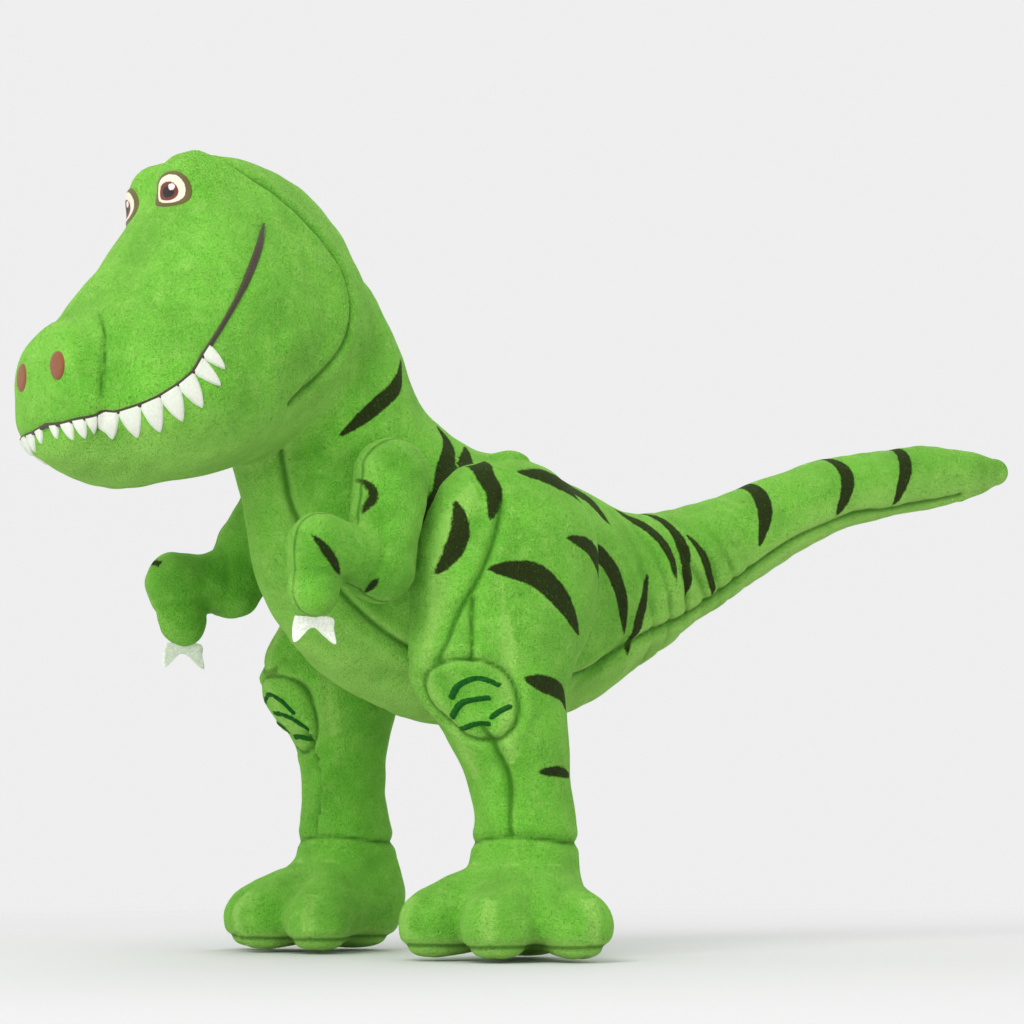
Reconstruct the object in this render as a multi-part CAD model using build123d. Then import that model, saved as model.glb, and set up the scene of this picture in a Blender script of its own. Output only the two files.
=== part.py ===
from build123d import *
import math
import os

os.makedirs("parts", exist_ok=True)

# Stuffed dinosaur, 380 mm tall. The toy faces -Y, its left side is +X, +Z is up.
# The origin is the middle of its bounding box, on the floor.

# ---------------------------------------------------------------- driving dimensions
SHIFT = Vector(-12.9, -64.7, 0.0)   # moves the working frame (hips at 0,0) onto the origin
SKIN = 1.6                 # plush fabric, backing and pile root
SLIP = 0.3                 # room between the fabric and the stuffing inside it
STITCH = 0.9               # how proud the embroidery stands
GAP = 0.6                  # clearance between two parts that move on each other

# each section of a tube: back/top point (y, z), front/bottom point (y, z), half width
TORSO_SECTIONS = [
    ((-46, 320), (-116, 290), 36),
    ((-30, 297), (-113, 266), 39),
    ((-18, 270), (-112, 241), 41),
    ((-4, 256), (-104, 215), 43),
    ((12, 249), (-94, 174), 51),
    ((26, 247), (-62, 134), 57),
    ((41, 243), (2, 111), 57),
    ((58, 239), (46, 113), 50),
    ((76, 232), (80, 122), 42),
    ((94, 225), (104, 137), 37),
    ((108, 222), (138, 161), 32.5),
]
TAIL_SECTIONS = [
    ((76, 232), (80, 122), 42),
    ((94, 225), (104, 137), 37),
    ((108, 222), (138, 161), 32.5),
    ((128, 224), (158, 172), 30),
    ((150, 229), (178, 185), 26.5),
    ((175, 238), (198, 197), 23.5),
    ((205, 249), (222, 211), 21),
    ((240, 259), (252, 223), 19),
    ((271, 265), (281, 230), 17.5),
    ((302, 269), (308, 236), 15),
    ((330, 268), (335, 243), 11.5),
    ((348, 265), (351, 250), 7),
    ((357, 261), (358, 254), 3.2),
]

# head, in its own frame: y, top z, bottom z, half width
HEAD_SECTIONS = [
    (16, 50, 2, 22),
    (4, 74, -20, 37),
    (-16, 89, -36, 47),
    (-40, 96, -50, 53),
    (-62, 95, -58, 56),
    (-82, 84, -63, 56),
    (-100, 62, -66, 54),
    (-118, 38, -67, 50),
    (-134, 20, -65, 45),
    (-147, 5, -60, 37),
    (-156, -12, -50, 23),
]
HEAD_NARROW = 0.26         # how much narrower the head is at the top than at the cheeks
HEAD_AT = Vector(0, -72, 285)
HEAD_YAW = 13.0            # turned to its left
HEAD_ROLL = 5.0            # its right cheek lower
MOUTH = [(-175, -48), (-163, -49), (-147, -44), (-131, -38), (-113, -26), (-104, -14),
         (-92, 2), (-80, 20), (-71, 38), (-65, 52)]
BACK_SEAM = [(-72, 120), (-70, 80), (-34, 57), (-16, 25), (-24, -4), (-50, -28), (-86, -53), (-96, -90)]
TEETH_AT = [-152, -144, -136, -128, -119, -110.5, -102.5, -95.5, -89]
TEETH_LONG = [7, 9, 9.5, 10, 12.5, 12.5, 11, 9.5, 8]
EYE_AT = (13.5, 70.0)      # half spacing, height
EYE_D = 19.0
NOSTRIL_AT = (14.0, -19.0)
NOSTRIL_SIZE = (9.0, 13.0)

# one leg: z, centre x, centre y, half width, half depth (left leg; the right one mirrored)
LEFT_LEG = [
    (238, 47, 10, 7, 12),
    (230, 48, 9, 19, 30),
    (210, 49, 7, 29, 46),
    (186, 50, 5, 33, 50),
    (164, 51, 4, 34, 49),
    (144, 55, 1, 33, 41),
    (124, 60, -2, 31, 34),
    (104, 63, 1, 28, 29),
    (84, 64, 7, 25, 25),
    (64, 65, 10, 24, 24),
    (46, 65, 10, 24, 24),
]
RIGHT_LEG = [
    (232, -45, -6, 7, 12),
    (224, -46, -7, 18, 28),
    (206, -47, -9, 28, 44),
    (182, -49, -11, 32, 46),
    (160, -51, -15, 33, 46),
    (140, -55, -24, 31, 38),
    (121, -58, -28, 28, 31),
    (103, -60, -25, 23, 24),
    (84, -60, -24, 21, 21),
    (64, -60, -25, 21, 21),
    (46, -60, -24, 21, 21),
]
HIP_PLANE = 34.0           # the inner face of the thigh, off the middle
HIP_LEFT = (2.0, 176.0)    # y, z of the hip seam centre
HIP_RIGHT = (-13.0, 172.0)
HIP_POCKET = 88.0          # radius of the flat on the body the thigh lies against
LEFT_FOOT = (65.0, 10.0, 45.0, 1.0)     # x, y, yaw, length factor
RIGHT_FOOT = (-60.0, -20.0, 3.0, 0.94)
TOE_FAN = 42.0
TOE_REACH = 51.0
TOE_R = (20.0, 16.0)
ANKLE_Z = 60.0
PAD_TALL = 15.0            # the sole pad the toes sit on
PAD_HEEL = 21.0
PAD_TOE = 12.5
SOLE = 3.0                 # thickness of the sole panel with its board-like lining

# arms: shoulder, elbow, wrist, hand, and the radii of the three lengths
LEFT_ARM = [(52, -56, 226), (61, -67, 182), (68, -102, 190), (69, -105, 168)]
RIGHT_ARM = [(-52, -66, 222), (-61, -87, 182), (-61, -117, 181), (-58, -114, 162)]
ARM_R = [(19, 17), (16, 14.5), (14.5, 12.5)]
ARM_PLANE = 44.5           # the flat inner face of the arm
ARM_POCKET = 72.0

NECK_HINGE = (-54.0, 235.5)      # y, z of the fold the head nods on
NECK_LEAN = -22.3          # the neck's own direction there, tipped forward from +Z
NECK_WEDGE = 6.0
TURN_AT = (-64.0, 255.0)   # y, z of the seam the head turns on
TURN_LEAN = -17.2
NECK_BALL = 12.0
TURN_BALL = 8.0
TAIL_BALL = 23.5
TAIL_END_BALL = 11.0
TAIL_HINGE = (98.0, 182.0)
TAIL_LEAN = 83.0           # direction of the tail at its root, from +Z towards +Y
TAIL_END_HINGE = (213.5, 230.0)
TAIL_END_LEAN = 66.0
TAIL_WEDGE = 8.0

PIECES = {}


def put(name, shape):
    """Keep a finished piece, moved into the object's frame."""
    solids = shape.solids()
    solids = sorted(solids, key=lambda s: -s.volume)
    keep = [s for s in solids if s.volume > 2.0]
    if len(keep) == 1:
        shape = keep[0]
    else:
        shape = Compound(children=keep)
    moved = shape.moved(Location(SHIFT))
    PIECES[name] = moved
    export_step(moved, f"parts/{name}.step")
    print(name, len(keep), round(sum(s.volume for s in keep)))


# ---------------------------------------------------------------- tubes of sections
def side_section(back, front, half, inset):
    """An ellipse standing in the plane through two points of the side profile."""
    b = Vector(0, back[0], back[1])
    f = Vector(0, front[0], front[1])
    mid = (b + f) * 0.5
    run = (b - f).normalized()
    tall = (b - f).length / 2 - inset
    plane = Plane(origin=mid, x_dir=(1, 0, 0), z_dir=Vector(1, 0, 0).cross(run))
    return plane * Ellipse(half - inset, tall)


def side_tube(sections, inset):
    return loft([side_section(b, f, h, inset) for b, f, h in sections])


def egg_section(y, top, bottom, half, inset):
    """A closed curve at one y of the head, narrower at the top than at the cheeks."""
    mid = (top + bottom) / 2
    tall = (top - bottom) / 2 - inset
    wide = half - inset
    pts = []
    for k in range(16):
        t = math.radians(22.5 * k)
        w = wide * math.cos(t) * (1 - HEAD_NARROW * math.sin(t))
        pts.append((w, y, mid + tall * math.sin(t)))
    return Face(Wire([Spline(*pts, periodic=True)]))


def head_form(inset):
    rows = []
    for k, (y, top, bottom, half) in enumerate(HEAD_SECTIONS):
        if k == 0:
            y = y - inset
        if k == len(HEAD_SECTIONS) - 1:
            y = y + inset
        rows.append(egg_section(y, top, bottom, half, inset))
    return loft(rows)


HEAD_TURN = Location(HEAD_AT, (0, 0, 0)) * Location((0, 0, 0), (0, 0, HEAD_YAW)) \
    * Location((0, 0, 0), (0, -HEAD_ROLL, 0))


def head_place(shape):
    return shape.moved(HEAD_TURN)


def leg_tube(sections, inset):
    rows = []
    for k, (z, x, y, a, b) in enumerate(sections):
        if k == 0:
            z = z - inset
        rows.append(Plane.XY.offset(z) * Pos(x, y) * Ellipse(a - inset, b - inset))
    return loft(rows)


def round_cone(p, q, ra, rb):
    """A tapered limb with ball ends."""
    p = Vector(*p)
    q = Vector(*q)
    run = q - p
    plane = Plane(origin=p, z_dir=run)
    body = loft([plane * Circle(ra), plane.offset(run.length) * Circle(rb)])
    return body + Pos(*p) * Sphere(ra) + Pos(*q) * Sphere(rb)


def arm_form(points, inset):
    form = None
    for (p, q), (ra, rb) in zip(zip(points, points[1:]), ARM_R):
        limb = round_cone(p, q, ra - inset, rb - inset)
        form = limb if form is None else form + limb
    return form


def foot_form(place, inset):
    """Three fanned toes, a heel and the ankle, standing on the floor."""
    x, y, yaw, factor = place
    r0, r1 = TOE_R
    form = Pos(0, 2, 27) * Sphere(26 - inset)
    form = form + round_cone((0, 0, 30), (0, 0, ANKLE_Z), 25 - inset, 22 - inset)
    for turn in (-TOE_FAN, 0, TOE_FAN):
        t = math.radians(turn)
        near = (18 * math.sin(t), -18 * math.cos(t), 25)
        reach = TOE_REACH * factor
        far = (reach * math.sin(t), -reach * math.cos(t), 15.5)
        form = form + round_cone(near, far, r0 - inset, r1 - inset)
    reach = TOE_REACH * factor
    tall = PAD_TALL - 2 * inset
    form = form + Pos(0, 2, PAD_TALL / 2) * Cylinder(PAD_HEEL - inset, tall)
    for turn in (-TOE_FAN, 0, TOE_FAN):
        bar = Pos(0, -reach / 2, 0) * Box(2 * (PAD_TOE - inset), reach, tall)
        bar = bar + Pos(0, -reach, 0) * Cylinder(PAD_TOE - inset, tall)
        form = form + Pos(0, 0, PAD_TALL / 2) * Rot(0, 0, turn) * bar
    form = form - Pos(0, 0, -50 + inset) * Box(300, 300, 100)
    return Pos(x, y, 0) * Rot(0, 0, yaw) * form


# ---------------------------------------------------------------- joint surfaces
def hinge_frame(at, lean):
    """A plane at a joint in the middle of the body, its normal leaning in the YZ plane."""
    t = math.radians(lean)
    return Plane(origin=(0, at[0], at[1]), x_dir=(1, 0, 0), z_dir=(0, math.sin(t), math.cos(t)))


def beyond(frame, wedge, gap):
    """Everything on the far side of a joint: a cone that leaves the wedge free."""
    far = 400.0
    slope = math.tan(math.radians(wedge))
    with BuildPart() as part:
        with BuildSketch(Plane.XZ):
            with BuildLine():
                Polyline((0, gap), (far, gap + far * slope), (far, far), (0, far), close=True)
            make_face()
        revolve(axis=Axis.Z)
    return part.part.moved(frame.location)


def ball(frame, radius):
    return (Rot(90, 0, 0) * Sphere(radius)).moved(frame.location)


def flip(frame):
    return Plane(origin=frame.origin, x_dir=frame.x_dir, z_dir=-frame.z_dir)


def side_slab(sign, start):
    """Everything outside one upright plane."""
    return Pos(sign * (start + 100), 0, 200) * Box(200, 1200, 900)


def pocket(sign, centre, radius, start):
    """The round flat a limb turns on, cut into the side of the body."""
    y, z = centre
    return Pos(sign * (start + 50), y, z) * Rot(0, 90, 0) * Cylinder(radius, 100)


def profile(points, low, high):
    """A side profile (y, z) pulled across x from low to high."""
    with BuildPart() as part:
        with BuildSketch(Plane.YZ.offset(low)):
            with BuildLine():
                Polyline(*points, close=True)
            make_face()
        extrude(amount=high - low)
    return part.part


neck_frame = hinge_frame(NECK_HINGE, NECK_LEAN)
tail_frame = hinge_frame(TAIL_HINGE, TAIL_LEAN)
tail_end_frame = hinge_frame(TAIL_END_HINGE, TAIL_END_LEAN)
turn_frame = hinge_frame(TURN_AT, TURN_LEAN)

# ---------------------------------------------------------------- torso
torso_outer = side_tube(TORSO_SECTIONS, 0)
torso_inner = side_tube(TORSO_SECTIONS, SKIN)
torso_core = side_tube(TORSO_SECTIONS, SKIN + SLIP)
above_neck = beyond(flip(neck_frame), NECK_WEDGE, GAP / 2)
before_tail = beyond(flip(tail_frame), TAIL_WEDGE, GAP / 2)


def torso_trim(shape):
    shape = shape & above_neck & before_tail
    for sign, hip in ((1, HIP_LEFT), (-1, HIP_RIGHT)):
        shape = shape - pocket(sign, hip, HIP_POCKET, HIP_PLANE - GAP)
    for sign, arm in ((1, LEFT_ARM), (-1, RIGHT_ARM)):
        shape = shape - pocket(sign, arm[0][1:], ARM_POCKET, ARM_PLANE - GAP)
    return shape


torso_skin = torso_trim(torso_outer - torso_inner)
belly_zone = profile([(-170, 260), (-100, 262), (-82, 190), (-48, 150), (10, 132), (60, 135),
                      (140, 170), (150, 60), (-170, 60)], -31, 31)
put("belly_panel", torso_skin & belly_zone)
side_skin = torso_skin - belly_zone
put("torso_panel_left", side_skin & side_slab(1, 0))
put("torso_panel_right", side_skin & side_slab(-1, 0))
torso_fill = torso_trim(torso_core)
torso_fill = torso_fill - ball(neck_frame, NECK_BALL + GAP) - ball(tail_frame, TAIL_BALL + GAP)
put("torso_stuffing", torso_fill)

# ---------------------------------------------------------------- neck
neck_zone = beyond(neck_frame, NECK_WEDGE, GAP / 2) & beyond(flip(turn_frame), 0, GAP / 2)
neck_skin = (torso_outer - torso_inner) & neck_zone
put("neck_panel_left", neck_skin & side_slab(1, 0))
put("neck_panel_right", neck_skin & side_slab(-1, 0))
neck_fill = (torso_core & neck_zone) + ball(neck_frame, NECK_BALL)
put("neck_stuffing", neck_fill - ball(turn_frame, TURN_BALL + GAP))

# ---------------------------------------------------------------- head
above_turn = beyond(turn_frame, 0, GAP / 2)
head_outer = head_place(head_form(0)) & above_turn
head_inner = head_place(head_form(SKIN))
head_proud = head_place(head_form(-STITCH)) & above_turn
head_skin = head_outer - head_inner - torso_inner
nape = ((torso_outer - torso_inner) & above_turn) - head_outer
put("nape_panel_left", nape & side_slab(1, 0))
put("nape_panel_right", nape & side_slab(-1, 0))
below_mouth = profile(MOUTH + [(-60, 52), (-20, 25), (-20, -120), (-200, -120), (-200, -48)], -90, 90)
behind_seam = profile(BACK_SEAM + [(60, -90), (60, 120)], -90, 90)
below_mouth = head_place(below_mouth)
behind_seam = head_place(behind_seam)
left_half = head_place(side_slab(1, 0).moved(Location((0, 0, -200))))
right_half = head_place(side_slab(-1, 0).moved(Location((0, 0, -200))))
back_skin = head_skin & behind_seam
face_skin = head_skin - behind_seam
jaw_skin = face_skin & below_mouth
face_skin = face_skin - below_mouth
put("face_panel_left", face_skin & left_half)
put("face_panel_right", face_skin & right_half)
put("back_of_head_panel_left", back_skin & left_half)
put("back_of_head_panel_right", back_skin & right_half)
put("jaw_panel", jaw_skin)
head_fill = head_place(head_form(SKIN + SLIP)) + torso_core
put("head_stuffing", (head_fill & above_turn) + ball(turn_frame, TURN_BALL))

# embroidery on the face: everything stands STITCH proud of the fabric
stitch_layer = head_proud - head_outer


def band(points, width):
    """A strip of even width along a side profile."""
    upper = []
    lower = []
    for k, (y, z) in enumerate(points):
        a = points[max(k - 1, 0)]
        b = points[min(k + 1, len(points) - 1)]
        dy = b[0] - a[0]
        dz = b[1] - a[1]
        size = math.hypot(dy, dz)
        upper.append((y - dz / size * width / 2, z + dy / size * width / 2))
        lower.append((y + dz / size * width / 2, z - dy / size * width / 2))
    return upper + lower[::-1]


mouth_zone = head_place(profile(band(MOUTH, 2.4), -90, 90))
put("mouth_line", stitch_layer & mouth_zone)


def mouth_height(y):
    for (ya, za), (yb, zb) in zip(MOUTH, MOUTH[1:]):
        if ya <= y <= yb:
            return za + (zb - za) * (y - ya) / (yb - ya)
    return MOUTH[-1][1]


def teeth_zone(low, high):
    """Pointed teeth hanging from the mouth line, joined by the stitched strip they start in."""
    strip = [(y, mouth_height(y) - 3.0) for y in TEETH_AT]
    form = profile(band(strip, 3.0), low, high)
    for y, long in zip(TEETH_AT, TEETH_LONG):
        top = mouth_height(y) - 1.6
        lean = (mouth_height(y + 4) - mouth_height(y - 4)) / 8
        half = 3.6
        tri = [(y - half, top - half * lean), (y + half, top + half * lean),
               (y + half * 0.9 + lean * 1.5, top + half * lean - long * 0.4),
               (y + lean * long * 0.5, top - long),
               (y - half * 0.9 + lean * 1.5, top - half * lean - long * 0.4)]
        form = form + profile(tri, low, high)
    return form


mouth_cut = mouth_zone
put("teeth_left", (stitch_layer & head_place(teeth_zone(4, 90))) - mouth_cut)
put("teeth_right", (stitch_layer & head_place(teeth_zone(-90, -4))) - mouth_cut)
for side, sign in (("left", 1), ("right", -1)):
    eye_bar = Pos(sign * EYE_AT[0], -100, EYE_AT[1]) * Rot(90, 0, 0) * Cylinder(EYE_D / 2, 80)
    put(f"eye_{side}", stitch_layer & head_place(eye_bar))
    nose_bar = extrude(Plane.XZ.offset(120) * Pos(sign * NOSTRIL_AT[0], NOSTRIL_AT[1])
                       * Ellipse(NOSTRIL_SIZE[0] / 2, NOSTRIL_SIZE[1] / 2), 80)
    put(f"nostril_{side}", stitch_layer & head_place(nose_bar))

# ---------------------------------------------------------------- arms
for side, sign, points in (("left", 1, LEFT_ARM), ("right", -1, RIGHT_ARM)):
    outside = side_slab(sign, ARM_PLANE)
    skin = (arm_form(points, 0) - arm_form(points, SKIN)) & outside
    seam = sign * (points[1][0] * sign + 1.0)
    outer_half = side_slab(sign, abs(seam))
    put(f"arm_panel_outer_{side}", skin & outer_half)
    put(f"arm_panel_inner_{side}", skin - outer_half)
    put(f"arm_stuffing_{side}", arm_form(points, SKIN + SLIP) & outside)
    # two felt claws in one white piece, sewn into the end of the hand
    hx, hy, hz = points[3]
    tip = hz - ARM_R[2][1] - 0.2
    claw = [(hy - 9, tip + 1), (hy + 9, tip + 1), (hy + 11, tip - 12), (hy + 3, tip - 5.5),
            (hy, tip - 4.6), (hy - 3, tip - 5.5), (hy - 10, tip - 11)]
    felt = profile(claw, hx - 1.25, hx + 1.25)
    put(f"claws_{side}", felt - arm_form(points, -0.02))

# ---------------------------------------------------------------- legs and feet
legs = (("left", 1, LEFT_LEG, LEFT_FOOT), ("right", -1, RIGHT_LEG, RIGHT_FOOT))
KNEE_TOP = 152.0
KNEE_LOW = 116.0
KNEE_SEAM = 120.0          # height of the seam between thigh and shin
ANKLE_SEAM = 52.0
for side, sign, sections, place in legs:
    outside = side_slab(sign, HIP_PLANE)
    above_ankle = Pos(0, 0, ANKLE_SEAM + 200) * Box(800, 800, 400)
    skin = (leg_tube(sections, 0) - leg_tube(sections, SKIN)) & outside & above_ankle
    knee_y = sections[5][2] - sections[5][4]
    knee_x = sections[5][1] + sign * 8
    knee = Pos(knee_x, knee_y, (KNEE_TOP + KNEE_LOW) / 2 + 2) * Rot(90, 0, 0) \
        * Cylinder(20, 60)
    put(f"knee_patch_{side}", skin & knee)
    skin = skin - knee
    thigh = Pos(0, 0, KNEE_SEAM + 200) * Box(800, 800, 400)
    outer_half = side_slab(sign, sections[5][1] * sign + 1.7)
    upper = skin & thigh
    lower = skin - thigh
    put(f"thigh_panel_outer_{side}", upper & outer_half)
    put(f"thigh_panel_inner_{side}", upper - outer_half)
    front_half = Pos(0, sections[8][2] - 200, 200) * Box(800, 400, 800)
    put(f"shin_panel_front_{side}", lower & front_half)
    put(f"shin_panel_back_{side}", lower - front_half)
    fill = leg_tube(sections, SKIN + SLIP) & outside & above_ankle
    put(f"leg_stuffing_{side}", fill)
    below_ankle = Pos(0, 0, ANKLE_SEAM - 200) * Box(800, 800, 400)
    foot_outer = foot_form(place, 0) & below_ankle
    foot_inner = foot_form(place, SKIN) & below_ankle
    foot_skin = foot_outer - foot_inner
    floor_slab = Pos(0, 0, SOLE - 100) * Box(800, 800, 200)
    put(f"foot_sole_{side}", foot_outer & floor_slab)
    put(f"foot_upper_{side}", foot_skin - floor_slab)
    foot_fill = foot_form(place, SKIN + SLIP) & below_ankle
    foot_fill = foot_fill - Pos(0, 0, SOLE + SLIP - 100) * Box(800, 800, 200)
    x, y, yaw, factor = place
    pouch_at = Pos(x, y, 13) * Rot(0, 0, yaw) * Pos(0, -8, 0)
    pouch = pouch_at * Cylinder(15, 14)
    room = pouch_at * Cylinder(15 + SLIP, 14 + 2 * SLIP)
    put(f"pellet_pouch_{side}", pouch)
    put(f"foot_stuffing_{side}", foot_fill - room)

# ---------------------------------------------------------------- tail
tail_outer = side_tube(TAIL_SECTIONS, 0)
tail_inner = side_tube(TAIL_SECTIONS[:-1], SKIN)
tail_core = side_tube(TAIL_SECTIONS[:-1], SKIN + SLIP)
root_zone = beyond(tail_frame, TAIL_WEDGE, GAP / 2) & beyond(flip(tail_end_frame), TAIL_WEDGE, GAP / 2)
end_zone = beyond(tail_end_frame, TAIL_WEDGE, GAP / 2)
under_zone = profile([(60, 150), (112, 168), (166, 196), (213, 219), (260, 233), (300, 243),
                      (340, 250), (380, 256), (380, 180), (60, 60)], -60, 60)
for name, zone in (("tail_base", root_zone), ("tail_end", end_zone)):
    skin = (tail_outer - tail_inner) & zone
    put(f"{name}_underside", skin & under_zone)
    skin = skin - under_zone
    put(f"{name}_panel_left", skin & side_slab(1, 0))
    put(f"{name}_panel_right", skin & side_slab(-1, 0))
root_fill = (tail_core & root_zone) + ball(tail_frame, TAIL_BALL)
root_fill = root_fill - ball(tail_end_frame, TAIL_END_BALL + GAP)
put("tail_base_stuffing", root_fill)
put("tail_end_stuffing", (tail_core & end_zone) + ball(tail_end_frame, TAIL_END_BALL))

whole = Compound(children=list(PIECES.values())).bounding_box()
print("box", whole.min, whole.max, len(PIECES))
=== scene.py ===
"""Looks of the stuffed dinosaur: plush skins, embroidery, felt, floor, lights and camera."""
import math

import bpy
import numpy as np
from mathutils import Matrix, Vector


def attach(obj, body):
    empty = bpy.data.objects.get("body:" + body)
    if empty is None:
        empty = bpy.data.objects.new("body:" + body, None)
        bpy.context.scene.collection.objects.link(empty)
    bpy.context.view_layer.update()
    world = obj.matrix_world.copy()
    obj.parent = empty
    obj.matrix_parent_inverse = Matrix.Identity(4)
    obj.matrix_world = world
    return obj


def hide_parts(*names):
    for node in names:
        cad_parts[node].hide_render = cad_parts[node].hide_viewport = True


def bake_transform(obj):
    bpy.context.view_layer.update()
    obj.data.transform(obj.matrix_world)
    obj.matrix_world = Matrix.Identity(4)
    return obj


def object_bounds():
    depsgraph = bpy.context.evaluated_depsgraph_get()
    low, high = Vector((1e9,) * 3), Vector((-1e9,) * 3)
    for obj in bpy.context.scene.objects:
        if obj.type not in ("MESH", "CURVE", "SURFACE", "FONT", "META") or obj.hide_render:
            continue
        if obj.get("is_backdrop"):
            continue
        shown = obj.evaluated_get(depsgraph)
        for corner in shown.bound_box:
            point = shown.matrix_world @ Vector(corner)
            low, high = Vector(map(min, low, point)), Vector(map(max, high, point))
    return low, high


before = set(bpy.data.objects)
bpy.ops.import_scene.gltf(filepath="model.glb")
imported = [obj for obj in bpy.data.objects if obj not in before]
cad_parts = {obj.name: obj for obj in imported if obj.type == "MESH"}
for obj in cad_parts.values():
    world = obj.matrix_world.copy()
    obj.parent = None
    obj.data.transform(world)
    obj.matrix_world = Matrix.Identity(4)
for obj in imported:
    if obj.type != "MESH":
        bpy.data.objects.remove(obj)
cad_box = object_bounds()


# ------------------------------------------------------------------ driving dimensions (mm)
# Shapes are worked out in the toy's own frame: hips near y = 0, the floor at z = 0.
# SHIFT takes that frame onto the CAD frame.
SHIFT = np.array([-12.9, -64.7, 0.0])
STEP = 1.7                 # size of one mesh face

# back/top point (y, z), front/bottom point (y, z), half width
SPINE = [
    ((-46, 320), (-116, 290), 36), ((-30, 297), (-113, 266), 39), ((-18, 270), (-112, 241), 41),
    ((-4, 256), (-104, 215), 44), ((12, 249), (-94, 174), 51), ((26, 247), (-62, 134), 57),
    ((41, 243), (2, 111), 58), ((58, 239), (46, 113), 52), ((76, 232), (80, 122), 44),
    ((94, 225), (104, 137), 38), ((108, 222), (138, 161), 33), ((128, 224), (158, 172), 30),
    ((150, 229), (178, 185), 26.5), ((175, 238), (198, 197), 23.5), ((205, 249), (222, 211), 21),
    ((240, 259), (252, 223), 19), ((271, 265), (281, 230), 17.5), ((302, 269), (308, 236), 15),
    ((330, 268), (335, 243), 11.5), ((348, 265), (351, 250), 7),
]
# head frame: y, top z, bottom z, half width
HEAD = [
    (16, 50, 2, 22), (4, 74, -20, 37), (-16, 89, -36, 47), (-40, 96, -50, 53), (-62, 95, -58, 56),
    (-82, 84, -63, 56), (-100, 62, -66, 54), (-118, 38, -67, 49), (-134, 20, -65, 42),
    (-147, 5, -60, 31),
]
HEAD_NARROW = 0.26
HEAD_AT = np.array([0.0, -72.0, 285.0])
HEAD_YAW, HEAD_ROLL = 13.0, 5.0
# z, centre x, centre y, half width, half depth
LEG = {
    "left": [(238, 47, 10, 7, 12), (230, 48, 9, 19, 30), (210, 49, 7, 29, 46), (186, 50, 5, 33, 51),
             (164, 51, 4, 34, 50), (144, 55, 0, 33, 42), (124, 60, -2, 31, 34), (104, 63, 1, 28, 29),
             (84, 64, 7, 25, 25), (64, 65, 10, 24, 24), (46, 65, 10, 24, 24)],
    "right": [(232, -45, -6, 7, 12), (224, -46, -7, 18, 28), (206, -47, -9, 28, 44),
              (182, -49, -11, 32, 46), (160, -51, -15, 33, 46), (140, -55, -24, 31, 38),
              (121, -58, -28, 28, 31), (103, -60, -25, 23, 24), (84, -60, -24, 21, 21),
              (64, -60, -25, 21, 21), (46, -60, -24, 21, 21)],
}
FOOT = {"left": (65.0, 10.0, 45.0, 1.0), "right": (-60.0, -20.0, 3.0, 0.94)}
TOE_FAN = 42.0
TOE_REACH = 51.0
ARM = {
    "left": [(52, -56, 226), (61, -67, 182), (68, -102, 190), (69, -105, 168)],
    "right": [(-52, -66, 222), (-61, -87, 182), (-61, -117, 181), (-58, -114, 162)],
}
ARM_R = [(19, 17), (16, 14.5), (14.5, 12.5)]
THROAT_AT = np.array([0.0, -69.0, 260.0])
THROAT_LEAN = math.radians(-29.4)
THROAT_AXIS = np.array([0.0, math.sin(THROAT_LEAN), math.cos(THROAT_LEAN)])
THROAT_REACH = 14.0


# ------------------------------------------------------------------ distance fields
def smin(a, b, k):
    h = np.clip(0.5 + 0.5 * (b - a) / k, 0, 1)
    return b * (1 - h) + a * h - k * h * (1 - h)


def smax(a, b, k):
    return -smin(-a, -b, k)


def ellipsoid(p, c, r):
    q = p - np.asarray(c, float)
    r = np.asarray(r, float)
    k0 = np.sqrt(((q / r) ** 2).sum(-1))
    k1 = np.sqrt(((q / r ** 2) ** 2).sum(-1))
    return k0 * (k0 - 1) / np.maximum(k1, 1e-9)


def round_cone(p, a, b, ra, rb):
    a, b = np.asarray(a, float), np.asarray(b, float)
    d = b - a
    t = np.clip((p - a) @ d / (d @ d), 0, 1)
    return np.linalg.norm(p - (a + t[..., None] * d), axis=-1) - (ra + t * (rb - ra))


def catmull(rows, n):
    P = np.asarray(rows, float)
    Q = np.vstack([2 * P[0] - P[1], P, 2 * P[-1] - P[-2]])
    out = []
    for i in range(1, len(Q) - 2):
        for t in np.linspace(0, 1, n, endpoint=False):
            out.append(0.5 * (2 * Q[i] + (Q[i + 1] - Q[i - 1]) * t
                              + (2 * Q[i - 1] - 5 * Q[i] + 4 * Q[i + 1] - Q[i + 2]) * t * t
                              + (-Q[i - 1] + 3 * Q[i] - 3 * Q[i + 1] + Q[i + 2]) * t ** 3))
    out.append(P[-1])
    return np.array(out)


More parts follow.
